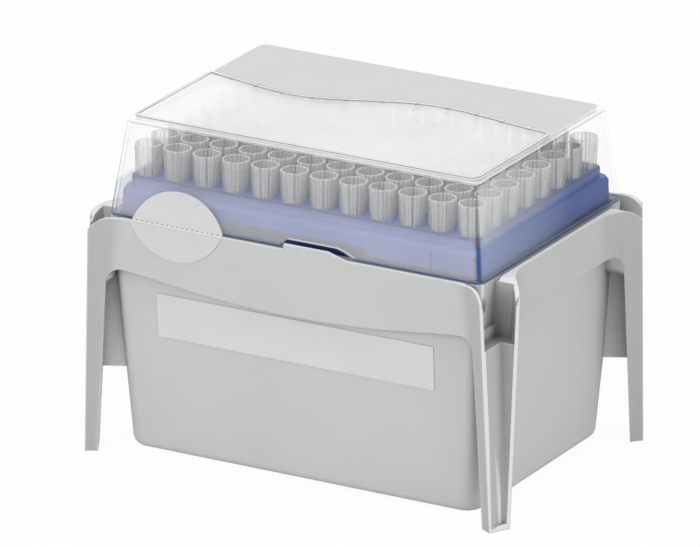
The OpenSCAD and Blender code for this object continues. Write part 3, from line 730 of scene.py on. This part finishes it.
def build_seal_bridge(mat):
    """The seal's perforated strip over the ledge between the skirt and the lid."""
    low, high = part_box("seal_lower")
    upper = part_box("seal_upper")[0]
    thick, lap = SEAL_THICK, 0.1 * MM
    start = (low.y, high.z - lap)
    end = (upper.y + thick, upper.z + lap)
    step = (high.x - low.x) / BRIDGES
    gap = 0.14 * step
    parts = Parts()
    for k in range(BRIDGES):
        left = low.x + k * step + gap
        right = low.x + (k + 1) * step - gap
        parts.loft([[(left, y, z), (right, y, z), (right, y + thick, z + thick / 2),
                     (left, y + thick, z + thick / 2)] for y, z in (start, end)])
    parts.piece("seal_bridge", mat, "base", "label_film")


# --- Camera, floor and light -----------------------------------------------------

def set_camera():
    azimuth, elevation, roll = math.radians(29.01), math.radians(19.75), math.radians(0.31)
    distance = 2.653
    target = Vector((2.2 * MM, -12.8 * MM, 52.9 * MM))
    out = Vector((math.sin(azimuth) * math.cos(elevation),
                  -math.cos(azimuth) * math.cos(elevation), math.sin(elevation)))
    data = bpy.data.cameras.new("camera")
    data.sensor_width = 36
    data.lens = 506.5
    data.clip_start = 0.1
    data.clip_end = 20
    camera = bpy.data.objects.new("camera", data)
    camera.location = target + out * distance
    camera.rotation_mode = "QUATERNION"
    camera.rotation_quaternion = (-out).to_track_quat("-Z", "Y") @ Quaternion((0, 0, 1), roll)
    bpy.context.scene.collection.objects.link(camera)
    bpy.context.scene.camera = camera


def set_world():
    """White to the camera and in reflections, half as bright as light on the object."""
    world = bpy.data.worlds.new("studio")
    n = Tree(world)
    bpy.context.scene.world = world
    light = n.tree.nodes["Background"]
    white = n.add("ShaderNodeBackground")
    for background, strength in ((light, 0.5), (white, 1.0)):
        background.inputs["Color"].default_value = WHITE
        background.inputs["Strength"].default_value = strength
    path = n.add("ShaderNodeLightPath").outputs
    seen = n.plus(path["Is Camera Ray"], path["Is Transmission Ray"], clamp=True)
    seen = n.plus(seen, path["Is Glossy Ray"], clamp=True)
    n.mix_shaders(seen, light, white, "World Output")


def floor_white():
    """Pale floor that the camera sees nearly white, with a faint shadow on it."""
    mat = bpy.data.materials.new("floor_white")
    n = Tree(mat)
    bsdf = n.tree.nodes["Principled BSDF"]
    bsdf.inputs["Base Color"].default_value = (0.85, 0.85, 0.85, 1)
    bsdf.inputs["Roughness"].default_value = 0.9
    bsdf.inputs["Specular IOR Level"].default_value = 0.1
    glow = n.add("ShaderNodeEmission")
    glow.inputs["Strength"].default_value = 1.0
    seen = n.add("ShaderNodeLightPath").outputs["Is Camera Ray"]
    n.mix_shaders(n.times(seen, 0.95), bsdf, glow, "Material Output")
    return mat


def set_floor():
    half = 6.0
    mesh = bpy.data.meshes.new("floor")
    mesh.from_pydata([(-half, -half, 0), (half, -half, 0), (half, half, 0), (-half, half, 0)],
                     [], [(0, 1, 2, 3)])
    mesh.materials.append(floor_white())
    floor = bpy.data.objects.new("floor", mesh)
    floor.location.z = -0.2 * MM
    bpy.context.scene.collection.objects.link(floor)


def add_lamp(name, place, size, power):
    """Area lamp that looks at the middle of the box."""
    data = bpy.data.lights.new(name, "AREA")
    data.shape = "RECTANGLE"
    data.size, data.size_y = size
    data.energy = power
    lamp = bpy.data.objects.new(name, data)
    lamp.location = place
    aim = Vector((0, 0, 0.05)) - Vector(place)
    lamp.rotation_euler = aim.to_track_quat("-Z", "Y").to_euler()
    bpy.context.scene.collection.objects.link(lamp)


def set_lamps():
    add_lamp("top", (0.0, -0.1, 1.4), (1.2, 1.2), 7)
    add_lamp("front", (-0.5, -1.3, 0.7), (1.0, 0.8), 6)
    add_lamp("side", (1.4, -0.3, 0.5), (0.8, 0.8), 5)


def main():
    label = film("label_film", (217, 217, 218), (221, 221, 221), 0.42)
    seal = film("seal_film", (211, 211, 212), (216, 216, 216), 0.4)
    build_base(moulded_grey())
    dress("rack", rack_blue(), 0.25 * MM)
    dress("front_label", label)
    dress("seal_lower", seal)
    dress("seal_upper", seal)
    build_seal_bridge(seal)
    build_lid(clear_lid())
    build_lid_bead(bead_plastic())
    build_lid_print(film("lid_print", (206, 207, 208), (211, 211, 212), 0.3))
    build_tips(tip_plastic())
    set_camera()
    set_world()
    set_floor()
    set_lamps()
    bpy.context.scene.view_settings.view_transform = "Standard"


main()
